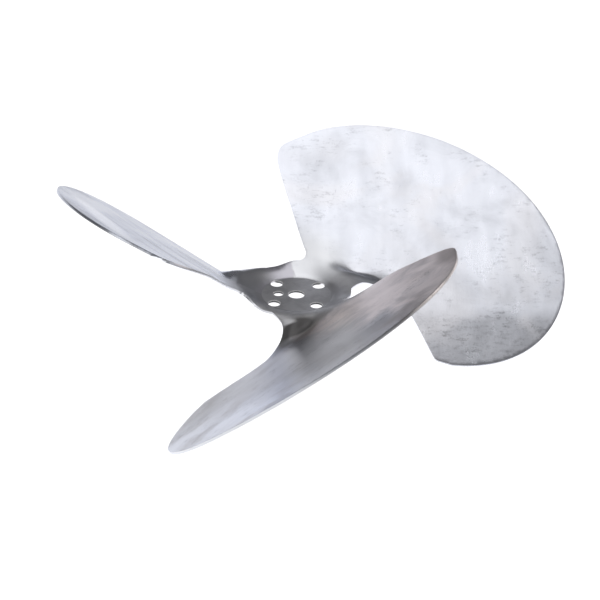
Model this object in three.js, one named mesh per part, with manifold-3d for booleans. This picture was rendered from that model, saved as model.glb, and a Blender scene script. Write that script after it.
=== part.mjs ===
// Three-blade sheet-metal boat propeller with a flat, bolt-on hub.
// Millimetres, +Z along the shaft axis towards the outboard face, origin on the
// shaft axis at the outboard face of the hub plate.
import * as THREE from 'three';
import { mergeVertices } from 'three/addons/utils/BufferGeometryUtils.js';
import Module from 'manifold-3d';

const wasm = await Module();
wasm.setup();

// ---- driving dimensions -------------------------------------------------
const SHEET = 2.0;              // sheet thickness
const GAP = 0.3;                // clearance between neighbouring pieces
const BLADES = 3;
const FIRST_BLADE_AZIMUTH = 4.5; // degrees from +X, turning towards +Y

// hub plate
const HUB_RADIUS = 28.6;        // flat pad with a narrow turned-up rim
const BORE = 12.0;              // centre bore diameter
const BOLT_CIRCLE = 44.0;       // four bolt holes
const BOLT_HOLE = 9.0;
const BOLT_TURN = 42.4;         // azimuth of the first bolt hole, degrees
const PIN_HOLE = 7.2;           // driving-pin hole
const PIN_RADIUS = 13.4;
const PIN_AZIMUTH = 177.4;

// dressed weld seams
const SEAM = 1.6;               // seam width
const BEAD = 0.4;               // how far the bead stands proud underneath

// formed root: a dish that rises outside the flat pad, out to the rim
const PAD_RADIUS = 25.6;        // edge of the flat pad
const DISH_SLOPE = 0.57;
const DISH_EASE = 2.2;          // length over which the slope builds up
const LEVEL_START = 16;         // past the pad's edge, where the dish levels off ...
const LEVEL_SHARE = 0.4;        // ... by this share of its slope ...
const LEVEL_AZIMUTH = 42;       // ... as far round as this, fading out over
const LEVEL_SPREAD = 34;
const RIM_RADIUS = 40.5;
const SEAM_AZIMUTH = 98;        // seam, degrees past a blade's own axis
const SEAM_SPREAD = 14;         // half-width of the blend across a seam, degrees
const ROOT_START = 30.5;        // the blade face starts to take over here ...
const ROOT_END = 80;            // ... and is reached here
const OWN_START = 44;           // beyond this radius a blade no longer feels its neighbours
const OWN_END = 58;
const BEND = {                  // bend beside the slot, where the face takes over early
  start: 35, end: 56,           // radii
  low: 21, high: 33,            // distance past the blade's axis
  azimuth: 50, spread: 30,      // dies out from here, degrees past the blade's axis
};

// blade face: rise above the hub face over the plan position in the blade's own
// frame (x out along the blade, y towards its high, leading edge)
const FACE = {
  at: -19.7, perX: -0.069, perY: 0.767,
  xc: 111, yc: 22, xx: 1.7e-4, xy: 3.3e-4, yy: -7.1e-4, yyy: 9e-7,
};

// blade outline in plan, same frame
const OUTER = { x: 92.4, y: 58.0, major: 117.9, minor: 77.4, turn: -18.6, from: -66, to: 146 };
const ROUND = {
  slotInner: { x: 53.0, y: 18.4, r: 12 },  // inner end of the slot beside the neck
  slotOuter: { x: 80.5, y: 17.5, r: 19 },
  heel: { x: 102.9, y: -22.0, r: 2.5 },    // trailing inner corner
  toe: { x: -9.5, y: 119.5, r: 11 },       // leading inner corner
  lead: { x: -6.0, y: 92.0 },              // bow of the leading inner edge
  root: { x: 12.0, y: 40.8, r: 6.5 },      // leading root against the rim
};

// faceting
const ARC_STEPS = 36;
const LATHE_STEPS = 48;
const HOLE_STEPS = 24;
const GRID_X = 24;
const GRID_Y = 18;

// ---- helpers --------------------------------------------------------------
const rad = THREE.MathUtils.degToRad;
const ease = (t) => { t = THREE.MathUtils.clamp(t, 0, 1); return t * t * (3 - 2 * t); };
const polar = (r, deg) => new THREE.Vector2(r * Math.cos(rad(deg)), r * Math.sin(rad(deg)));

function faceRise(x, y) {
  const u = x - FACE.xc;
  const v = y - FACE.yc;
  return FACE.at + FACE.perX * x + FACE.perY * y
    + FACE.xx * u * u + FACE.xy * u * v + FACE.yy * v * v + FACE.yyy * v * v * v;
}

function dishRise(r, level = 0) {
  const climb = (d) => d * d / (d + DISH_EASE);
  const d = Math.max(0, r - PAD_RADIUS);
  return DISH_SLOPE * (climb(d) - level * climb(Math.max(0, d - LEVEL_START)));
}

// height of the outboard face over (x, y) in one blade's frame
function sheetRise(x, y) {
  const r = Math.hypot(x, y);
  const turn = THREE.MathUtils.radToDeg(Math.atan2(y, x));
  const own = faceRise(x, y);
  const near = 1 - ease((r - OWN_START) / (OWN_END - OWN_START));
  const step = 360 / BLADES;
  let face = own;
  if (near > 0) {
    const neighbour = (side) => {
      const a = rad(-side * step);
      return faceRise(x * Math.cos(a) - y * Math.sin(a), x * Math.sin(a) + y * Math.cos(a));
    };
    const past = ease((turn - SEAM_AZIMUTH + SEAM_SPREAD) / (2 * SEAM_SPREAD));
    const before = 1 - ease((turn - SEAM_AZIMUTH + step + SEAM_SPREAD) / (2 * SEAM_SPREAD));
    if (turn > 38) face += near * past * (neighbour(1) - own);
    else face += near * before * (neighbour(-1) - own);
  }
  const bent = ease((y - BEND.low) / (BEND.high - BEND.low)) * (1 - ease((turn - BEND.azimuth) / BEND.spread));
  const slow = ease((r - ROOT_START) / (ROOT_END - ROOT_START));
  const w = slow + (ease((r - BEND.start) / (BEND.end - BEND.start)) - slow) * bent;
  const level = LEVEL_SHARE * (1 - ease((turn - LEVEL_AZIMUTH) / LEVEL_SPREAD));
  return dishRise(r, level) * (1 - w) + face * w;
}

// extra depth so that a sloping sheet keeps its thickness square to its face
function sheetDepth(x, y) {
  const h = 0.5;
  const sx = (sheetRise(x + h, y) - sheetRise(x - h, y)) / (2 * h);
  const sy = (sheetRise(x, y + h) - sheetRise(x, y - h)) / (2 * h);
  return SHEET * Math.min(1.9, Math.sqrt(1 + sx * sx + sy * sy));
}

function toSolid(geometry) {
  const g = geometry.clone();
  g.deleteAttribute('normal');
  g.deleteAttribute('uv');
  const m = mergeVertices(g, 1e-5);
  return new wasm.Manifold(new wasm.Mesh({
    numProp: 3,
    vertProperties: new Float32Array(m.attributes.position.array),
    triVerts: new Uint32Array(m.index.array),
  }));
}

function toGeometry(solid) {
  const mesh = solid.getMesh();
  const g = new THREE.BufferGeometry();
  g.setAttribute('position', new THREE.BufferAttribute(new Float32Array(mesh.vertProperties), 3));
  g.setIndex(new THREE.BufferAttribute(new Uint32Array(mesh.triVerts), 1));
  g.computeVertexNormals();
  return g;
}

// ---- hub plate --------------------------------------------------------------
// closed ring or disc profile that follows the dish between two radii
function dishedProfile(inner, outer, steps) {
  const radii = [];
  for (let i = 0; i <= steps; i++) radii.push(inner + (outer - inner) * i / steps);
  const under = radii.map((r) => new THREE.Vector2(r, dishRise(r) - SHEET));
  const over = radii.map((r) => new THREE.Vector2(r, dishRise(r))).reverse();
  return { under, over };
}

function turned(points) {
  const g = new THREE.LatheGeometry(points, LATHE_STEPS);
  g.rotateX(Math.PI / 2);   // lathe axis Y becomes Z
  return g;
}

function hubPlate() {
  const rim = dishedProfile(PAD_RADIUS, HUB_RADIUS, 3);
  const disc = turned([new THREE.Vector2(0, -SHEET), ...rim.under, ...rim.over, new THREE.Vector2(0, 0)]);
  let solid = toSolid(disc);
  const drill = (at, d) => {
    const g = new THREE.CylinderGeometry(d / 2, d / 2, 12, HOLE_STEPS);
    g.rotateX(Math.PI / 2);
    g.translate(at.x, at.y, 0);
    solid = solid.subtract(toSolid(g));
  };
  drill(new THREE.Vector2(), BORE);
  for (let i = 0; i < 4; i++) drill(polar(BOLT_CIRCLE / 2, BOLT_TURN + 90 * i), BOLT_HOLE);
  drill(polar(PIN_RADIUS, PIN_AZIMUTH), PIN_HOLE);
  return toGeometry(solid);
}

// ---- seam round the hub plate -------------------------------------------------
function hubSeam() {
  const inner = HUB_RADIUS + GAP;
  const outer = inner + SEAM;
  const { under, over } = dishedProfile(inner, outer, 2);
  under.forEach((q, i) => { q.y -= BEAD * (1 - (i - 1) ** 2); });
  return turned([...under, ...over, under[0].clone()]);
}

// ---- radial seam between two blade roots, in a blade's frame ---------------------
function rootSeam() {
  const from = HUB_RADIUS + GAP + SEAM + GAP;
  const to = RIM_RADIUS;
  const g = new THREE.BoxGeometry(to - from, SEAM, 1, 5, 2, 1);
  g.translate((to + from) / 2, 0, 0);
  const p = g.attributes.position;
  const c = Math.cos(rad(SEAM_AZIMUTH));
  const s = Math.sin(rad(SEAM_AZIMUTH));
  for (let i = 0; i < p.count; i++) {
    const across = p.getY(i);
    const bulge = 1 - (2 * across / SEAM) ** 2;
    // both ends follow their circle
    const r = Math.sqrt(Math.max(0, p.getX(i) ** 2 - across ** 2));
    const x = r * c - across * s;
    const y = r * s + across * c;
    const top = p.getZ(i) > 0;
    p.setXYZ(i, x, y, sheetRise(x, y) - (top ? 0 : sheetDepth(x, y) + BEAD * bulge));
  }
  return g;
}

// ---- blade -----------------------------------------------------------------
// polygon from corners, each rounded by a quadratic curve
function roundedCorner(path, from, corner, to, r) {
  const a = new THREE.Vector2().subVectors(from, corner).setLength(r).add(corner);
  const b = new THREE.Vector2().subVectors(to, corner).setLength(r).add(corner);
  path.lineTo(a.x, a.y);
  path.quadraticCurveTo(corner.x, corner.y, b.x, b.y);
}

function bladeShape() {
  const step = 360 / BLADES;
  const inner = HUB_RADIUS + GAP + SEAM + GAP;
  const half = SEAM / 2 + GAP;
  // points on the two seam sides, offset square to the seam line
  const seamPoint = (r, deg, side) => {
    const along = Math.sqrt(r * r - half * half);
    const a = rad(deg);
    return new THREE.Vector2(along * Math.cos(a) - side * half * Math.sin(a), along * Math.sin(a) + side * half * Math.cos(a));
  };
  const trailing = SEAM_AZIMUTH - step;
  const t0 = seamPoint(inner, trailing, 1);
  const t1 = seamPoint(RIM_RADIUS, trailing, 1);
  const l1 = seamPoint(RIM_RADIUS, SEAM_AZIMUTH, -1);
  const l0 = seamPoint(inner, SEAM_AZIMUTH, -1);

  const v = (q) => new THREE.Vector2(q.x, q.y);
  const outer = new THREE.EllipseCurve(OUTER.x, OUTER.y, OUTER.major, OUTER.minor,
    rad(OUTER.from), rad(OUTER.to), false, rad(OUTER.turn));
  const arc = outer.getPoints(ARC_STEPS);

  const shape = new THREE.Shape();
  shape.moveTo(t0.x, t0.y);
  shape.lineTo(t1.x, t1.y);
  const slotStart = polar(RIM_RADIUS, 0);
  shape.absarc(0, 0, RIM_RADIUS, Math.atan2(t1.y, t1.x), 0, false);
  roundedCorner(shape, slotStart, v(ROUND.slotInner), v(ROUND.slotOuter), ROUND.slotInner.r);
  roundedCorner(shape, v(ROUND.slotInner), v(ROUND.slotOuter), v(ROUND.heel), ROUND.slotOuter.r);
  roundedCorner(shape, v(ROUND.slotOuter), v(ROUND.heel), arc[0], ROUND.heel.r);
  for (const q of arc) shape.lineTo(q.x, q.y);
  roundedCorner(shape, arc[arc.length - 1], v(ROUND.toe), v(ROUND.lead), ROUND.toe.r);
  // bowed leading inner edge down to the root fillet
  const rootIn = new THREE.Vector2().subVectors(v(ROUND.lead), v(ROUND.root)).setLength(ROUND.root.r).add(v(ROUND.root));
  shape.quadraticCurveTo(ROUND.lead.x, ROUND.lead.y, rootIn.x, rootIn.y);
  const rimJoin = polar(RIM_RADIUS, 83);
  shape.quadraticCurveTo(ROUND.root.x - 1.5, ROUND.root.y, rimJoin.x, rimJoin.y);
  shape.absarc(0, 0, RIM_RADIUS, rad(83), Math.atan2(l1.y, l1.x), false);
  shape.lineTo(l0.x, l0.y);
  shape.absarc(0, 0, inner, Math.atan2(l0.y, l0.x), Math.atan2(t0.y, t0.x), true);
  return shape;
}

function bladeSolid() {
  const shape = bladeShape();
  const outline = shape.getPoints(6);
  const box = new THREE.Box2().setFromPoints(outline).expandByScalar(4);
  const size = box.getSize(new THREE.Vector2());

  const sheet = new THREE.BoxGeometry(1, 1, 1, GRID_X, GRID_Y, 1);
  const p = sheet.attributes.position;
  for (let i = 0; i < p.count; i++) {
    const u = p.getX(i) + 0.5;
    const x = box.min.x + size.x * (0.55 * u + 0.45 * u * u);   // finer towards the root
    const y = box.min.y + size.y * (p.getY(i) + 0.5);
    const z = sheetRise(x, y);
    p.setXYZ(i, x, y, p.getZ(i) > 0 ? z : z - sheetDepth(x, y));
  }

  const cutter = new THREE.ExtrudeGeometry(shape, { depth: 400, bevelEnabled: false, curveSegments: 6 });
  cutter.translate(0, 0, -200);
  return toGeometry(toSolid(sheet).intersect(toSolid(cutter)));
}

// ---- assembly ----------------------------------------------------------------
const plateMetal = new THREE.MeshStandardMaterial({ color: 0x7b7b7e, roughness: 0.42, metalness: 1 });
const bladeMetal = new THREE.MeshStandardMaterial({ color: 0xc8c9d0, roughness: 0.38, metalness: 1 });
const seamMetal = new THREE.MeshStandardMaterial({ color: 0x8a8a8e, roughness: 0.5, metalness: 1 });

const propeller = new THREE.Group();
propeller.name = 'propeller';

function add(name, geometry, material, azimuth = 0) {
  const mesh = new THREE.Mesh(geometry, material.clone());
  mesh.name = name;
  mesh.rotation.z = rad(azimuth);
  propeller.add(mesh);
}

add('hub_plate', hubPlate(), plateMetal);
add('hub_seam', hubSeam(), seamMetal);

const blade = bladeSolid();
const seam = rootSeam();
for (let i = 0; i < BLADES; i++) {
  const azimuth = FIRST_BLADE_AZIMUTH + (360 / BLADES) * i;
  add(`blade_${i + 1}`, blade.clone(), bladeMetal, azimuth);
  add(`root_seam_${i + 1}`, seam.clone(), seamMetal, azimuth);
}

export default propeller;
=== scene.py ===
import math

import bmesh
import bpy
from mathutils import Matrix, Vector
from mathutils.geometry import delaunay_2d_cdt


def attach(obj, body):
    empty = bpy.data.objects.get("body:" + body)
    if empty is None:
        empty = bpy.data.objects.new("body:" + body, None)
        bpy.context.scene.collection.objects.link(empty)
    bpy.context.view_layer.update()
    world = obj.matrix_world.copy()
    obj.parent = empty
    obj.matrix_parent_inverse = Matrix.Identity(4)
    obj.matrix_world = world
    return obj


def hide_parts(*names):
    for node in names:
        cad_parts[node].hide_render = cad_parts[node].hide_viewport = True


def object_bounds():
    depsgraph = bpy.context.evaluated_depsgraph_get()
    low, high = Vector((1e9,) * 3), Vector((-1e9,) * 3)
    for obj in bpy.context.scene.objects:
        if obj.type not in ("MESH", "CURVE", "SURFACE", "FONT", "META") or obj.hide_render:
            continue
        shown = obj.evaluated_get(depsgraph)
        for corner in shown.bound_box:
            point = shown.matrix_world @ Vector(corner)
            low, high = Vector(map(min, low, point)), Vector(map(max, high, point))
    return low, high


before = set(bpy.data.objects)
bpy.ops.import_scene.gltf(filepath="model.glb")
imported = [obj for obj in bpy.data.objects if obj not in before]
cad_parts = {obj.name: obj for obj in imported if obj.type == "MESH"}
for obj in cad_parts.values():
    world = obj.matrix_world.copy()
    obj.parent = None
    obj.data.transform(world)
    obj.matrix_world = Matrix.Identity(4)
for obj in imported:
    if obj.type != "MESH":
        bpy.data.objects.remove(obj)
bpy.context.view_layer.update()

mm = 0.001
perMetre = 1000.0  # millimetres
print("frame loaded:", len(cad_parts), "nodes")


# a socket that takes part in Python sums, so that "1 - mask * 2" adds the nodes
class Sock:
    def __init__(self, tree, socket):
        self.tree, self.socket = tree, socket

    def maths(self, operation, *values):
        return self.tree.make("ShaderNodeMath", {"operation": operation}, values)

    def out(self, name):  # another output of the same node
        return Sock(self.tree, self.socket.node.outputs[name])

    def __add__(self, other): return self.maths("ADD", self, other)
    def __radd__(self, other): return self.maths("ADD", other, self)
    def __sub__(self, other): return self.maths("SUBTRACT", self, other)
    def __rsub__(self, other): return self.maths("SUBTRACT", other, self)
    def __mul__(self, other): return self.maths("MULTIPLY", self, other)
    def __rmul__(self, other): return self.maths("MULTIPLY", other, self)
    def __truediv__(self, other): return self.maths("DIVIDE", self, other)
    def __rtruediv__(self, other): return self.maths("DIVIDE", other, self)
    def root(self): return self.maths("SQRT", self)
    def least(self, other): return self.maths("MINIMUM", self, other)
    def most(self, other): return self.maths("MAXIMUM", self, other)

    def ramp(self, low, high):  # 0 below low, 1 above high, eased between
        limits = {"Value": self, "From Min": low, "From Max": high}
        return self.tree.make("ShaderNodeMapRange", {"interpolation_type": "SMOOTHSTEP"}, limits)


class NodeTree:
    def __init__(self, tree):
        self.tree = tree
        tree.nodes.clear()

    def make(self, kind, settings=None, values=(), out=0):
        node = self.tree.nodes.new(kind)
        for key, value in (settings or {}).items():
            setattr(node, key, value)
        for key, value in (values.items() if isinstance(values, dict) else enumerate(values)):
            if isinstance(value, Sock):
                self.tree.links.new(value.socket, node.inputs[key])
            elif value is not None:
                node.inputs[key].default_value = value
        return Sock(self, node.outputs[out]) if node.outputs else node

    def vector(self, operation, *values):
        return self.make("ShaderNodeVectorMath", {"operation": operation}, values)

    def join(self, x, y, z=0.0):
        return self.make("ShaderNodeCombineXYZ", None, (x, y, z))

    def mix(self, first, second, factor, blend="MIX"):  # colours, as links or as red, green and blue
        first, second = [(*c, 1.0) if isinstance(c, tuple) else c for c in (first, second)]
        settings = {"data_type": "RGBA", "blend_type": blend}
        return self.make("ShaderNodeMix", settings, {0: factor, 6: first, 7: second}, out=2)

    def noise(self, place, scale, detail=4.0, rough=0.55, distort=0.0):
        return self.make("ShaderNodeTexNoise", None, {
            "Vector": place, "Scale": scale, "Detail": detail, "Roughness": rough, "Distortion": distort})


# all in millimetres and degrees, as the part itself is dimensioned
sheet = {
    "thickness": 2.0,
    "padRadius": 25.6, "dishSlope": 0.57, "dishEase": 2.2, "rimRadius": 40.5,
    "levelStart": 16.0, "levelShare": 0.4, "levelAzimuth": 42.0, "levelSpread": 34.0,
    "bendStart": 35.0, "bendEnd": 56.0, "bendLow": 21.0, "bendHigh": 33.0, "bendAzimuth": 50.0, "bendSpread": 30.0,
    "rootStart": 30.5, "rootEnd": 80.0, "ownStart": 44.0, "ownEnd": 58.0,
    "seamAzimuth": 98.0, "seamSpread": 14.0,
    "faceAt": -19.7, "facePerX": -0.069, "facePerY": 0.767, "faceX": 111.0, "faceY": 22.0,
    "faceXX": 1.7e-4, "faceXY": 3.3e-4, "faceYY": -7.1e-4, "faceYYY": 9e-7,
}
outline = {
    "outer": (92.4, 58.0, 117.9, 77.4, -18.6, -66.0, 146.0),  # centre, half axes, turn, from, to
    "outerSteps": 240, "rootAzimuth": 83, "filletPull": 1.5,
    "slotInner": (53.0, 18.4, 12.0), "slotOuter": (80.5, 17.5, 19.0),
    "heel": (102.9, -22.0, 2.5), "toe": (-9.5, 119.5, 11.0),
    "lead": (-6.0, 92.0), "root": (12.0, 40.8, 6.5),
    "step": 1.6, "spacing": 2.2,  # along the outline, and across the blank
}
unevenness = {"waviness": 0.22, "broad": 26.0, "fine": 90.0, "fineShare": 0.5, "from": 50.0, "full": 90.0}
rounding = {"radius": 0.42, "segments": 3, "sharpFrom": 40.0, "smoothTo": 38.0}
hub = {
    "radius": 28.75, "bore": 12.0, "boltCircle": 44.0, "boltHole": 9.0, "boltTurn": 42.4,
    "pinHole": 7.2, "pinRadius": 13.4, "pinAzimuth": 177.4,
    "spacing": 1.3, "rimRows": (25.6, 26.0, 26.5, 27.1, 27.9), "rowClearance": 0.35,
}
seams = {"inner": 28.75, "outer": 30.65, "half": 0.95, "bead": 0.4, "ringSpacing": 0.7, "rootSpacing": 0.6}
third = 360 / 3  # from one blade to the next
bladeAzimuths = {"blade_1": 4.5, "blade_2": 124.5, "blade_3": 244.5}


def pressTree():
    group = bpy.data.node_groups.new("pressSheet", "GeometryNodeTree")
    tree = NodeTree(group)
    group.interface.new_socket("Geometry", in_out="INPUT", socket_type="NodeSocketGeometry")
    names = {}
    for key in list(sheet) + ["azimuth", "waviness", "seed"]:
        names[key] = group.interface.new_socket(key, in_out="INPUT", socket_type="NodeSocketFloat").identifier
    names["metal"] = group.interface.new_socket("metal", in_out="INPUT", socket_type="NodeSocketMaterial").identifier
    group.interface.new_socket("Geometry", in_out="OUTPUT", socket_type="NodeSocketGeometry")
    given = tree.make("NodeGroupInput")
    size = {key: given.out(key) for key in names}

    place = tree.make("GeometryNodeInputPosition")
    parts = tree.make("ShaderNodeSeparateXYZ", None, (place,))
    x, y = parts.out("X") * perMetre, parts.out("Y") * perMetre
    radius = (x * x + y * y).root()
    turn = y.maths("ARCTAN2", y, x) * (180 / math.pi)

    def face(u, v):
        a, b = u - size["faceX"], v - size["faceY"]
        return (size["faceAt"] + size["facePerX"] * u + size["facePerY"] * v + size["faceXX"] * a * a
                + size["faceXY"] * a * b + size["faceYY"] * b * b + size["faceYYY"] * b * b * b)

    def turned(angle):  # x and y seen from the neighbour's frame
        c, s = math.cos(math.radians(angle)), math.sin(math.radians(angle))
        return x * c + y * s, y * c - x * s

    own = face(x, y)
    near = 1.0 - radius.ramp(size["ownStart"], size["ownEnd"])
    past = turn.ramp(size["seamAzimuth"] - size["seamSpread"], size["seamAzimuth"] + size["seamSpread"])
    trailing = size["seamAzimuth"] - third
    before = 1.0 - turn.ramp(trailing - size["seamSpread"], trailing + size["seamSpread"])
    blade = own + near * (past * (face(*turned(third)) - own) + before * (face(*turned(-third)) - own))
    over = (radius - size["padRadius"]).most(0.0)
    climb = lambda d: d * d / (d + size["dishEase"])
    level = size["levelShare"] * (1.0 - turn.ramp(size["levelAzimuth"], size["levelAzimuth"] + size["levelSpread"]))
    dish = size["dishSlope"] * (climb(over) - level * climb((over - size["levelStart"]).most(0.0)))
    unbent = turn.ramp(size["bendAzimuth"], size["bendAzimuth"] + size["bendSpread"])
    bent = y.ramp(size["bendLow"], size["bendHigh"]) * (1.0 - unbent)
    slow = radius.ramp(size["rootStart"], size["rootEnd"])
    share = slow + (radius.ramp(size["bendStart"], size["bendEnd"]) - slow) * bent
    rise = dish * (1.0 - share) + blade * share

    # hand-dressed unevenness, none on the pad or its root
    drift = tree.join(x * mm + size["seed"], y * mm, size["seed"] * 3.0)
    broad = (tree.noise(drift, unevenness["broad"], 2.0) - 0.5) * 2.0
    fine = (tree.noise(drift, unevenness["fine"], 2.0) - 0.5) * unevenness["fineShare"]
    rise = rise + (broad + fine) * size["waviness"] * radius.ramp(unevenness["from"], unevenness["full"])

    pressed = tree.join(parts.out("X"), parts.out("Y"), rise * mm)
    formed = tree.make("GeometryNodeSetPosition", None, {"Geometry": given, "Position": pressed})
    pulled = tree.make("GeometryNodeExtrudeMesh", {"mode": "FACES"}, {
        "Mesh": formed, "Offset Scale": size["thickness"] * -mm, "Individual": False})
    under = tree.make("GeometryNodeFlipFaces", None, (pulled,))
    both = tree.make("GeometryNodeJoinGeometry")
    group.links.new(formed.socket, both.socket.node.inputs[0])
    group.links.new(under.socket, both.socket.node.inputs[0])
    closed = tree.make("GeometryNodeMergeByDistance", None, {"Geometry": both, "Distance": 1e-6})
    spin = tree.join(0.0, 0.0, size["azimuth"] * (math.pi / 180))
    spun = tree.make("GeometryNodeTransform", None, {"Geometry": closed, "Rotation": spin})
    real = tree.make("GeometryNodeRealizeInstances", None, (spun,))
    dressed = tree.make("GeometryNodeSetMaterial", None, {"Geometry": real, "Material": size["metal"]})
    last = tree.make("NodeGroupOutput")
    group.links.new(dressed.socket, last.inputs[0])
    return group, names


pressGroup, pressInputs = pressTree()
print("pressing rule built:", len(pressGroup.nodes), "nodes")


def polar(radius, degrees):
    a = math.radians(degrees)
    return Vector((radius * math.cos(a), radius * math.sin(a)))


def arcPoints(radius, start, end, step, centre=(0, 0)):
    count = max(2, round(abs(math.radians(end - start)) * radius / step))
    return [Vector(centre) + polar(radius, start + (end - start) * i / count) for i in range(count + 1)]


def curvePoints(a, control, b, step):
    count = max(3, round(((control - a).length + (b - control).length) / step))
    return [a * (1 - t) ** 2 + control * 2 * t * (1 - t) + b * t * t for t in (i / count for i in range(count + 1))]


def linePoints(a, b, step):
    count = max(1, round((b - a).length / step))
    return [a.lerp(b, i / count) for i in range(count + 1)]


def chain(*runs):
    points = []
    for run in runs:
        for p in run:
            if not points or (p - points[-1]).length > 0.05:
                points.append(p)
    if (points[0] - points[-1]).length < 0.05:
        points.pop()
    return points


def corner(before, spec, after, step):  # quadratic rounding of one corner
    at = Vector(spec[:2])
    a = at + (before - at).normalized() * spec[2]
    b = at + (after - at).normalized() * spec[2]
    return curvePoints(a, at, b, step)


def seamPoint(radius, degrees, side):
    half = seams["half"]
    along, a = math.sqrt(radius ** 2 - half ** 2), math.radians(degrees)
    c, s = math.cos(a), math.sin(a)
    return Vector((along * c - side * half * s, along * s + side * half * c))


def bladeOutline():
    step, rim, inner, root = outline["step"], sheet["rimRadius"], seams["outer"], outline["rootAzimuth"]
    trailing, leading = sheet["seamAzimuth"] - third, sheet["seamAzimuth"]
    t0, t1 = seamPoint(inner, trailing, 1), seamPoint(rim, trailing, 1)
    l1, l0 = seamPoint(rim, leading, -1), seamPoint(inner, leading, -1)
    angle = lambda p: math.degrees(math.atan2(p.y, p.x))
    cx, cy, major, minor, turn, start, end = outline["outer"]
    c, s = math.cos(math.radians(turn)), math.sin(math.radians(turn))
    outer = []
    for i in range(outline["outerSteps"] + 1):
        t = math.radians(start + (end - start) * i / outline["outerSteps"])
        u, v = major * math.cos(t), minor * math.sin(t)
        outer.append(Vector((cx + u * c - v * s, cy + u * s + v * c)))
    spot = lambda key: Vector(outline[key][:2])
    slotIn = corner(polar(rim, 0), outline["slotInner"], spot("slotOuter"), step)
    slotOut = corner(spot("slotInner"), outline["slotOuter"], spot("heel"), step)
    heel = corner(spot("slotOuter"), outline["heel"], outer[0], step)
    toe = corner(outer[-1], outline["toe"], spot("lead"), step * 0.4)
    rootIn = spot("root") + (spot("lead") - spot("root")).normalized() * outline["root"][2]
    bow = curvePoints(toe[-1], spot("lead"), rootIn, step)
    fillet = curvePoints(rootIn, spot("root") - Vector((outline["filletPull"], 0)), polar(rim, root), step * 0.6)
    return chain(
        linePoints(t0, t1, step), arcPoints(rim, angle(t1), 0, step),
        linePoints(polar(rim, 0), slotIn[0], step), slotIn, linePoints(slotIn[-1], slotOut[0], step), slotOut,
        linePoints(slotOut[-1], heel[0], step), heel, linePoints(heel[-1], outer[0], step), outer,
        linePoints(outer[-1], toe[0], step), toe, bow, fillet,
        arcPoints(rim, root, angle(l1), step), linePoints(l1, l0, step), arcPoints(inner, angle(l0), angle(t0), step))


def blank(name, loops, spacing, extra=()):  # flat sheet inside the loops, filled with even triangles
    points, edges = [], []
    for loop in loops:
        first = len(points)
        points += loop
        edges += [(first + i, first + (i + 1) % len(loop)) for i in range(len(loop))]
    low = Vector((min(p.x for p in points), min(p.y for p in points)))
    high = Vector((max(p.x for p in points), max(p.y for p in points)))
    cells = {}
    for p in points + list(extra):
        cells.setdefault((int(p.x // spacing), int(p.y // spacing)), []).append(p)
    inside = list(extra)
    row, y = 0, low.y
    while y < high.y:
        x = low.x + (spacing / 2 if row % 2 else 0)
        while x < high.x:
            p = Vector((x, y))
            cx, cy = int(x // spacing), int(y // spacing)
            around = [q for i in (-1, 0, 1) for j in (-1, 0, 1) for q in cells.get((cx + i, cy + j), ())]
            if all((p - q).length >= spacing * 0.62 for q in around):
                inside.append(p)
            x += spacing
        row, y = row + 1, y + spacing * 0.866
    verts, _, faces, *_ = delaunay_2d_cdt([Vector(p) for p in points] + inside, edges, [], 2, 1e-5)
    mesh = bpy.data.meshes.new(name)
    mesh.from_pydata([(v.x * mm, v.y * mm, 0) for v in verts], [], faces)
    bm = bmesh.new()
    bm.from_mesh(mesh)
    loose = [v for v in bm.verts if not v.link_faces]
    bmesh.ops.delete(bm, geom=loose, context="VERTS")
    for f in bm.faces:
        if f.normal.z < 0:
            f.normal_flip()
    bm.to_mesh(mesh)
    bm.free()
    return mesh


def dropFaces(mesh, unwanted):
    bm = bmesh.new()
    bm.from_mesh(mesh)
    bmesh.ops.delete(bm, geom=[f for f in bm.faces if unwanted(f.calc_center_median() / mm)], context="FACES")
    bm.to_mesh(mesh)
    bm.free()
    return mesh


def press(name, flat, azimuth, waviness, seed, metal, freeEdge, proud=0.0):
    maker = bpy.data.objects.new(name + "_blank", flat)
    bpy.context.collection.objects.link(maker)
    modifier = maker.modifiers.new("press", "NODES")
    modifier.node_group = pressGroup
    inputs = {**sheet, "azimuth": azimuth, "waviness": waviness, "seed": seed, "metal": metal}
    inputs["thickness"] += proud
    for key, value in inputs.items():
        modifier[pressInputs[key]] = value
    mesh = bpy.data.meshes.new_from_object(maker.evaluated_get(bpy.context.evaluated_depsgraph_get()))
    maker.modifiers.remove(modifier)
    bpy.data.objects.remove(maker)
    mesh.name = name
    bm = bmesh.new()
    bm.from_mesh(mesh)
    # soften the free edges only; the seam edges stay crisp
    sharpFrom, smoothTo = math.radians(rounding["sharpFrom"]), math.radians(rounding["smoothTo"])
    sharp = [e for e in bm.edges if len(e.link_faces) == 2 and e.calc_face_angle() > sharpFrom]
    free = [e for e in sharp if freeEdge(e.verts[0].co / mm) and freeEdge(e.verts[1].co / mm)]
    for e in sharp:
        e.smooth = False
    bmesh.ops.bevel(
        bm, geom=free, offset=rounding["radius"] * mm, segments=rounding["segments"], profile=0.5,
        affect="EDGES", clamp_overlap=True)
    for f in bm.faces:
        f.smooth = True
    for e in bm.edges:
        if len(e.link_faces) == 2:
            e.smooth = e.calc_face_angle() < smoothTo
    bm.to_mesh(mesh)
    bm.free()
    piece = bpy.data.objects.new(name, mesh)
    bpy.context.collection.objects.link(piece)
    print("  pressed", name, len(mesh.polygons), "faces")
    return piece


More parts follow.
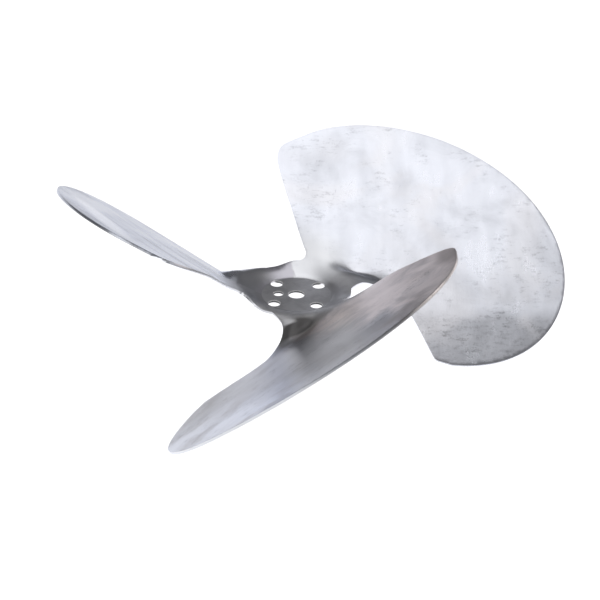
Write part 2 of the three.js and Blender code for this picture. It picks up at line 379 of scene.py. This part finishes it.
# every piece reads the same plan, so that marks run on from hub to blade; lengths in millimetres
class Finish:
    def __init__(self, name, azimuth=0.0):
        self.metal = bpy.data.materials.new(name)
        self.metal.use_nodes = True
        self.tree = tree = NodeTree(self.metal.node_tree)
        self.here = tree.make("ShaderNodeTexCoord", out="Object")
        self.plan = self.turned(self.here, azimuth)
        hubAxes = tree.make("ShaderNodeSeparateXYZ", None, (self.here,))
        planAxes = tree.make("ShaderNodeSeparateXYZ", None, (self.plan,))
        hx, hy = hubAxes.out("X") * perMetre, hubAxes.out("Y") * perMetre
        self.x, self.y = planAxes.out("X") * perMetre, planAxes.out("Y") * perMetre
        self.radius = (hx * hx + hy * hy).root()
        self.turn = hy.maths("ARCTAN2", hy, hx) * (180 / math.pi)
        facing = tree.make("ShaderNodeSeparateXYZ", None, (tree.make("ShaderNodeNewGeometry", out="Normal"),)).out("Z")
        self.upright = facing.maths("ABSOLUTE", facing)  # 1 on the sheet's faces laid flat, 0 on a cut edge

    def turned(self, place, degrees):
        spin = (0, 0, math.radians(-degrees))
        return self.tree.make("ShaderNodeMapping", {"vector_type": "POINT"}, {"Vector": place, "Rotation": spin})

    def brushed(self, angle, length, width, detail=4.0):  # noise drawn out along one direction of the plan
        axes = self.tree.make("ShaderNodeSeparateXYZ", None, (self.turned(self.plan, angle),))
        drawn = self.tree.join(
            axes.out("X") * (perMetre / length), axes.out("Y") * (perMetre / width), axes.out("Z") * (300 / width))
        return self.tree.noise(drawn, 1.0, detail, 0.6)

    def near(self, x, y, wide, high, angle=0.0):  # soft oval on the plan, 1 at its middle
        c, s = math.cos(math.radians(angle)), math.sin(math.radians(angle))
        u = ((self.x - x) * c + (self.y - y) * s) / wide
        v = ((self.y - y) * c - (self.x - x) * s) / high
        return 1.0 - (u * u + v * v).root().ramp(0.35, 1.0)

    def finish(self, colour, rough, height, relief, rimTint=(1.0, 1.0, 1.0), metallic=1.0):
        tree = self.tree
        normal = tree.make("ShaderNodeBump", None, {"Strength": relief, "Distance": 0.4 * mm, "Height": height})
        shader = tree.make("ShaderNodeBsdfPrincipled", None, {
            "Base Color": colour, "Roughness": rough, "Metallic": metallic, "Specular Tint": (*rimTint, 1),
            "Normal": normal})
        tree.make("ShaderNodeOutputMaterial", None, {"Surface": shader})
        return self.metal


rootLook = {
    "highlightPatch": (0.86, 0.87, 0.90), "hubTone": (0.76, 0.76, 0.78), "dull": (0.60, 0.60, 0.62),
    # neck and ring: darker tones painted as shade where the sheet turns
    "neck": (0.56, 0.56, 0.58), "ring": (0.52, 0.52, 0.54), "tinted": (0.60, 0.588, 0.64),
    "rough": 0.34, "reach": (42.0, 66.0),  # where root gives way to blade
    "padEdge": (25.5, 26.1), "ringFade": (28.5, 34.0), "neckFade": (24.0, 34.0),
    # round the hub in degrees: the painted highlight patch, the tint past it, and the far neck's painted shade
    "rearRise": (26.0, 46.0), "tintRise": (92.5, 97.5), "tintRagged": 30.0, "neckRise": (118.0, 138.0),
}
bladeLooks = {
    "blade_1": {
        "silver": (0.84, 0.86, 0.93), "grey": (0.52, 0.53, 0.57), "warm": (0.85, 0.84, 0.87),
        "rimTint": (0.9, 0.9, 0.93), "rough": 0.30, "relief": 0.34, "ragged": 30.0, "seed": 1.0,
        "brush": 90.0, "brushLength": 60.0, "brushWidth": 15.0, "brushDepth": 0.10,
        "mottle": 0.37, "speckle": 0.60, "fleck": 4.0,
        "dullShadeReach": (2.0, 15.0), "dullShadeDepth": 0.85, "dullFleck": 0.55,
        "bendShade": (54.0, 25.0, 26.0, 8.0, 14.0), "bendShadeColour": (0.22, 0.22, 0.23),
    },
    "blade_2": {
        "silver": (0.60, 0.625, 0.70), "grey": (0.46, 0.48, 0.54), "warm": (0.57, 0.57, 0.61),
        "rimTint": (0.72, 0.735, 0.79), "rough": 0.24, "relief": 0.24, "ragged": 10.0, "seed": 2.0,
        "brush": 178.0, "brushLength": 240.0, "brushWidth": 14.0, "brushDepth": 0.5,
        "mottle": 0.4, "speckle": 0.25, "fleck": 178.0,
        "sheenStreak": (85.0, 115.0, 80.0, 12.0, -12.0), "tipShine": (150.0, 92.0, 46.0, 30.0, -40.0),
        "paintedSheen": (0.98, 0.985, 1.0), "nick": (84.0, 49.0, 3.2, 2.2), "nickColour": (0.16, 0.16, 0.17),
    },
    "blade_3": {
        "silver": (0.62, 0.64, 0.70), "grey": (0.51, 0.515, 0.545), "warm": (0.93, 0.84, 0.81),
        "rimTint": (0.86, 0.86, 0.88), "rough": 0.32, "relief": 0.22, "ragged": 20.0, "seed": 3.0,
        "brush": 146.0, "brushLength": 110.0, "brushWidth": 22.0, "brushDepth": 0.25,
        "mottle": 0.75, "speckle": 0.85, "fleck": 150.0,
        "silverFrom": (126.0, 160.0), "paleFrom": (158.0, 186.0), "pale": (0.72, 0.75, 0.83), "warmTo": (46.0, 84.0),
        "leadBrown": (100.0, 128.0, 42.0, 14.0, -6.0), "toeBrown": (2.0, 120.0, 34.0, 12.0, 25.0),
        "brown": (0.30, 0.25, 0.225), "smudge": (128.0, 57.0, 34.0, 17.0, 150.0), "smudgeColour": (0.30, 0.285, 0.28),
        "mottleColour": (0.34, 0.32, 0.32),
        "foldShade": (50.0, 24.5, 26.0, 10.5, 150.0), "foldShadeColour": (0.075, 0.072, 0.070),
        "foldHighlight": (48.0, 15.0, 9.0, 4.0, 110.0), "foldHighlightColour": (0.95, 0.95, 0.97),
    },
}
# painted highlight along the blades' cut edges
edgeLook = {"edgeHighlight": (0.86, 0.87, 0.90), "from": (0.25, 0.6), "depth": 0.8, "matt": 0.85}


def rootColour(make):  # the hub's darker tone, a painted highlight patch behind its pad, and painted shade on the ring round the pad and on the far neck
    tree, look = make.tree, rootLook
    cloud = tree.noise(make.here, 55.0, 5.0, 0.6)
    pastPad = make.radius.ramp(*look["padEdge"])
    beyond = (make.turn + (cloud - 0.5) * look["tintRagged"]).ramp(*look["tintRise"])
    rear = make.turn.ramp(*look["rearRise"]) * (1.0 - beyond)
    base = tree.mix(look["hubTone"], look["dull"], cloud.ramp(0.38, 0.64))
    # painted highlight: the patch behind the pad is lightened
    base = tree.mix(base, look["highlightPatch"], rear * pastPad)
    base = tree.mix(base, look["tinted"], beyond * pastPad)
    # painted shade: the ring just outside the pad, where the sheet turns up into the dish, is darkened
    ring = pastPad * (1.0 - make.radius.ramp(*look["ringFade"])) * (1.0 - rear) * (1.0 - beyond)
    base = tree.mix(base, look["ring"], ring)
    # painted shade: the far neck is darkened where the sheet turns
    neck = make.turn.ramp(*look["neckRise"]) * make.radius.ramp(*look["neckFade"])
    return tree.mix(base, look["neck"], neck), cloud


def cloudyFace(make, look, marks):  # pale, with a darker flecked band along the trailing side, partly scuffed dirt and partly painted shade
    tree, cloud, patch = make.tree, marks["cloud"], marks["patch"]
    # the band's darkening is partly painted shade, partly scuffed dirt; the flecks are dirt
    dull = 1.0 - (make.y + (cloud - 0.5) * 26.0 + (patch - 0.5) * 18.0).ramp(*look["dullShadeReach"])
    grey = (dull * look["dullShadeDepth"] + cloud.ramp(0.42, 0.72) * look["mottle"]).least(1.0)
    base = tree.mix(tree.mix(look["silver"], look["grey"], grey), look["warm"], patch.ramp(0.5, 0.7) * 0.5)
    flecked = (marks["grit"] * 0.5 + marks["fleck"] * 0.5).ramp(0.47, 0.64) * dull * look["dullFleck"]
    marks["speckle"] = (marks["speckle"] + flecked).least(1.0)
    return base


def brushedFace(make, look, marks):  # brushed along its length, with a painted highlight streak and tip sheen, and one dark nick
    tree, cloud, brush = make.tree, marks["cloud"], marks["brush"]
    grey = (brush.ramp(0.44, 0.62) * look["brushDepth"] + cloud.ramp(0.5, 0.7) * look["mottle"]).least(1.0)
    base = tree.mix(tree.mix(look["silver"], look["grey"], grey), look["warm"], marks["patch"].ramp(0.5, 0.7) * 0.4)
    # painted highlight: a lengthwise streak and the tip lightened
    paintedSheen = make.near(*look["sheenStreak"]) * 1.3 + make.near(*look["tipShine"]) * 0.7
    base = tree.mix(base, look["paintedSheen"], (paintedSheen * (brush.ramp(0.36, 0.58) * 0.5 + 0.5)).least(1.0))
    return tree.mix(base, look["nickColour"], make.near(*look["nick"]))


def tintedFace(make, look, marks):  # silver at the tip, grey in the middle, heat-tinted along the leading side
    tree, cloud = make.tree, marks["cloud"]
    uneven = (marks["patch"] - 0.5) * 60.0 + (cloud - 0.5) * 44.0
    base = tree.mix(look["grey"], look["silver"], (make.x + uneven).ramp(*look["silverFrom"]))
    base = tree.mix(base, look["pale"], (make.x + uneven).ramp(*look["paleFrom"]))
    base = tree.mix(base, look["warm"], 1.0 - (make.x - make.y * 0.45 + 27.0 + uneven).ramp(*look["warmTo"]))
    brown = make.near(*look["leadBrown"]) * cloud.ramp(0.35, 0.6) + make.near(*look["toeBrown"])
    base = tree.mix(base, look["brown"], brown.least(1.0) * 0.65)
    base = tree.mix(base, look["smudgeColour"], make.near(*look["smudge"]) * cloud.ramp(0.36, 0.58) * 0.5)
    mottled = tree.mix(base, look["mottleColour"], 0.6)
    return tree.mix(base, mottled, cloud.ramp(0.44, 0.68) * look["mottle"])


bladeFaces = {"blade_1": cloudyFace, "blade_2": brushedFace, "blade_3": tintedFace}


def bladeMetal(node, azimuth):
    look = bladeLooks[node]
    make = Finish(node + "_metal", azimuth)
    tree = make.tree
    drift = tree.vector("ADD", make.plan, (look["seed"], 0.0, 0.0))
    cloud = tree.noise(drift, 24.0, 5.0, 0.6, 0.6)
    patch = tree.noise(drift, 11.0, 3.0, 0.5, 1.2)
    grit = tree.noise(drift, 620.0, 3.0, 0.75)
    brush = make.brushed(look["brush"], look["brushLength"], look["brushWidth"])
    hair = make.brushed(look["brush"] + 4, 26.0, 0.9, 3.0)
    scratch = make.brushed(look["brush"] - 32, 38.0, 0.7, 2.0).ramp(0.70, 0.78) * patch.ramp(0.46, 0.62)
    fleck = make.brushed(look["fleck"], 8.0, 2.2, 4.0)
    gathered = tree.noise(drift, 38.0, 3.0, 0.6, 0.5).ramp(0.47, 0.62)
    speckle = (grit * 0.4 + fleck * 0.6).ramp(0.50, 0.64) * gathered * look["speckle"]
    marks = {"cloud": cloud, "patch": patch, "grit": grit, "brush": brush, "fleck": fleck, "speckle": speckle}
    base = bladeFaces[node](make, look, marks)
    speckle = marks["speckle"]

    shade = 1.0 - (brush.ramp(0.42, 0.66) * look["brushDepth"] * 0.32 + speckle * 0.30 + scratch * 0.25)
    base = tree.mix(base, tree.join(shade, shade, shade), 1.0, "MULTIPLY")
    # the hub's colours run on into the root, with their painted highlight patch and painted shade
    hub, _ = rootColour(make)
    far = (make.radius + (patch - 0.5) * look["ragged"]).ramp(*rootLook["reach"])
    base = tree.mix(hub, base, far)
    metallic = 1.0
    if "bendShade" in look:  # painted shade along the bend beside the slot
        base = tree.mix(base, look["bendShadeColour"], make.near(*look["bendShade"]) * 0.65)
    if "foldShade" in look:  # painted shade in the hollow of the bend, with a painted highlight spot beside it
        foldShade = (make.near(*look["foldShade"]) * 1.15).least(1.0)
        base = tree.mix(base, look["foldShadeColour"], foldShade * 0.95)
        base = tree.mix(base, look["foldHighlightColour"], make.near(*look["foldHighlight"]))
        metallic = 1.0 - foldShade * 0.9
    edgeHighlight = 1.0 - make.upright.ramp(*edgeLook["from"])  # painted highlight along the cut edge
    base = tree.mix(base, edgeLook["edgeHighlight"], edgeHighlight * edgeLook["depth"])
    if "foldShade" in look:
        metallic = metallic * (1.0 - edgeHighlight * edgeLook["matt"])
    rough = (look["rough"] + (1.0 - far) * 0.10 + (cloud - 0.5) * 0.14 + (brush - 0.5) * 0.16
             + speckle * 0.12 + (grit - 0.5) * 0.06)
    height = (brush * 0.5 + hair * 0.30 + grit * 0.25 + cloud * 0.5 - scratch * 0.8) * (far * 0.9 + 0.1)
    return make.finish(base, rough, height, look["relief"], look["rimTint"], metallic)


# painted highlight on the holes' lips and painted shade on their walls
holeLight = {"lipHighlight": (0.90, 0.90, 0.92), "lipHighlightTo": (0.80, 0.985), "wallShade": (0.10, 0.10, 0.105), "wallShadeTo": (0.15, 0.45)}


def hubMetal():
    make = Finish("hub_metal_satin")
    tree = make.tree
    # carries the painted highlight patch and painted shade of rootColour
    base, cloud = rootColour(make)
    grit = tree.noise(make.here, 700.0, 3.0, 0.7)
    inHole = (27.0 - make.radius).ramp(0.0, 1.0)  # the holes' edges, not the plate's rim
    # painted highlight on the lips, painted shade down the hole walls
    lipHighlight = (1.0 - make.upright.ramp(*holeLight["lipHighlightTo"])) * inHole
    wallShade = (1.0 - make.upright.ramp(*holeLight["wallShadeTo"])) * inHole
    base = tree.mix(tree.mix(base, holeLight["lipHighlight"], lipHighlight), holeLight["wallShade"], wallShade)
    rough = rootLook["rough"] + (cloud - 0.5) * 0.14 + (grit - 0.5) * 0.12
    return make.finish(base, rough, grit * 0.3 + cloud * 0.3, 0.28)


def seamMetal():
    make = Finish("seam_metal_dressed")
    # carries the painted highlight patch and painted shade of rootColour
    base, cloud = rootColour(make)
    ripple = make.tree.noise(make.here, 420.0, 3.0, 0.6)
    rough = rootLook["rough"] + 0.02 + (cloud - 0.5) * 0.16
    return make.finish(base, rough, ripple * 0.5 + cloud * 0.3, 0.25)


hubLook = hubMetal()
seamLook = seamMetal()
print("finishes mixed")

bladeLoop = bladeOutline()
print("blade outline:", len(bladeLoop), "points")
flatBlade = blank("blade_blank", [bladeLoop], outline["spacing"])
print("blade blank:", len(flatBlade.polygons), "faces")


def bladeFree(azimuth):  # tells a free edge from one that is welded
    def test(p):
        radius = math.hypot(p.x, p.y)
        turn = (math.degrees(math.atan2(p.y, p.x)) - azimuth + 180) % 360 - 180
        if radius < seams["outer"] + 2.4:
            return False
        edge = min(abs(turn - sheet["seamAzimuth"]), abs(turn - sheet["seamAzimuth"] + third))
        return not (radius < sheet["rimRadius"] - 0.3 and math.radians(edge) * radius < seams["half"] + 1.2)
    return test


for node, azimuth in bladeAzimuths.items():
    seed = bladeLooks[node]["seed"] * 1.7
    metal, free = bladeMetal(node, azimuth), bladeFree(azimuth)
    piece = press(node + "_sheet", flatBlade.copy(), azimuth, unevenness["waviness"], seed, metal, free)
    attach(piece, "root")
    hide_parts(node)

holes = [(Vector((0, 0)), hub["bore"] / 2)]
holes += [(polar(hub["boltCircle"] / 2, hub["boltTurn"] + 90 * i), hub["boltHole"] / 2) for i in range(4)]
holes.append((polar(hub["pinRadius"], hub["pinAzimuth"]), hub["pinHole"] / 2))


def hubBlank():
    loops = [arcPoints(hub["radius"], 0, 360, 0.9)[:-1]]
    loops += [arcPoints(size, 360, 0, 0.45, place)[:-1] for place, size in holes]
    clear = lambda p: all((p - place).length > size + hub["rowClearance"] for place, size in holes)
    rows = [p for r in hub["rimRows"] for p in arcPoints(r, 0, 360, 0.9)[:-1] if clear(p)]
    inHole = lambda c: any((c.xy - place).length < size - 0.02 for place, size in holes)
    return dropFaces(blank("hub_blank", loops, hub["spacing"], rows), inHole)


plateFree = lambda p: math.hypot(p.x, p.y) < hub["radius"] - 0.8
plate = press("hub_plate_sheet", hubBlank(), 0.0, 0.0, 0.0, hubLook, plateFree)
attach(plate, "root")
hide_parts("hub_plate")


def ringBlank():
    loops = [arcPoints(seams["outer"], 0, 360, 0.8)[:-1], arcPoints(seams["inner"], 360, 0, 0.8)[:-1]]
    inside = lambda c: c.length < seams["inner"] - 0.01
    return dropFaces(blank("ring_blank", loops, seams["ringSpacing"]), inside)


def stripBlank():
    leading, inner, outer = sheet["seamAzimuth"], seams["outer"], sheet["rimRadius"]
    a0, a1 = seamPoint(inner, leading, -1), seamPoint(outer, leading, -1)
    b1, b0 = seamPoint(outer, leading, 1), seamPoint(inner, leading, 1)
    loop = chain(linePoints(a0, a1, 0.6), linePoints(a1, b1, 0.4), linePoints(b1, b0, 0.6), linePoints(b0, a0, 0.4))
    return blank("strip_blank", [loop], seams["rootSpacing"])


never = lambda p: False
ring = press("hub_seam_bead", ringBlank(), 0.0, 0.0, 0.0, seamLook, never, seams["bead"])
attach(ring, "root")
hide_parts("hub_seam")
for i, azimuth in enumerate(bladeAzimuths.values()):
    bead = press(f"root_seam_{i + 1}_bead", stripBlank(), azimuth, 0.0, 0.0, seamLook, never, seams["bead"])
    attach(bead, "root")
    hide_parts(f"root_seam_{i + 1}")
print("seams laid")

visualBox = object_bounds()
studio = {
    "floor": (0.93, 0.93, 0.935), "floorGlow": 0.80, "floorSize": 14.0,
    "room": (0.16, 0.16, 0.165),
}
softboxes = {  # size, place, target, power
    "topSoftbox": ((1.2, 1.36), (0.05, 0.10, 1.35), (0.05, 0.10, 0), 5.2),
    "frontSoftbox": ((2.2, 0.9), (-0.5, -2.2, 0.35), (0, 0, 0), 9.0),
    "rightSoftbox": ((1.0, 0.7), (1.84, 0.40, 0.68), (0, 0, 0), 2.2),
    "leftSoftbox": ((1.0, 0.7), (-1.75, -0.72, 0.80), (0, 0, 0), 2.2),
}
bpy.ops.mesh.primitive_plane_add(size=studio["floorSize"], location=(0, 0, 0))
floor = bpy.context.object
floor.data.transform(Matrix.Translation((0, 0, visualBox[0].z)))
floor.name = "floor"
paper = bpy.data.materials.new("floor_paper")
paper.use_nodes = True
tree = NodeTree(paper.node_tree)
shader = tree.make("ShaderNodeBsdfPrincipled", None, {
    "Base Color": (*studio["floor"], 1), "Roughness": 0.9,
    "Emission Color": (1, 1, 1, 1), "Emission Strength": studio["floorGlow"]})
tree.make("ShaderNodeOutputMaterial", None, {"Surface": shader})
floor.data.materials.append(paper)

for name, (size, place, target, power) in softboxes.items():
    light = bpy.data.lights.new(name, "AREA")
    light.shape, light.size, light.size_y, light.energy = "RECTANGLE", *size, power
    lamp = bpy.data.objects.new(name, light)
    lamp.location = place
    lamp.rotation_euler = (Vector(target) - Vector(place)).to_track_quat("-Z", "Y").to_euler()
    bpy.context.collection.objects.link(lamp)
world = bpy.data.worlds.new("room")
world.use_nodes = True
world.node_tree.nodes["Background"].inputs["Color"].default_value = (*studio["room"], 1)
bpy.context.scene.world = world
bpy.context.scene.view_settings.view_transform = "Standard"
print("studio lit")

view = {"elevation": 27.93, "distance": 1.781, "roll": 1.355, "lens": 144.4, "sensor": 36.0, "shift": (0.0060, -0.0095)}
e, roll = math.radians(view["elevation"]), math.radians(view["roll"])
forward = Vector((0, math.cos(e), -math.sin(e)))
side = Vector((1, 0, 0))
upward = side.cross(forward)
right = side * math.cos(roll) + upward * math.sin(roll)
top = upward * math.cos(roll) - side * math.sin(roll)
lens = bpy.data.cameras.new("camera")
lens.lens, lens.sensor_width, lens.shift_x, lens.shift_y = view["lens"], view["sensor"], *view["shift"]
lens.clip_start, lens.clip_end = 0.05, 40.0
camera = bpy.data.objects.new("camera", lens)
turned = Matrix((right, top, -forward)).transposed().to_4x4()
camera.matrix_world = Matrix.Translation(-forward * view["distance"]) @ turned
bpy.context.collection.objects.link(camera)
bpy.context.scene.camera = camera

print("scene done")
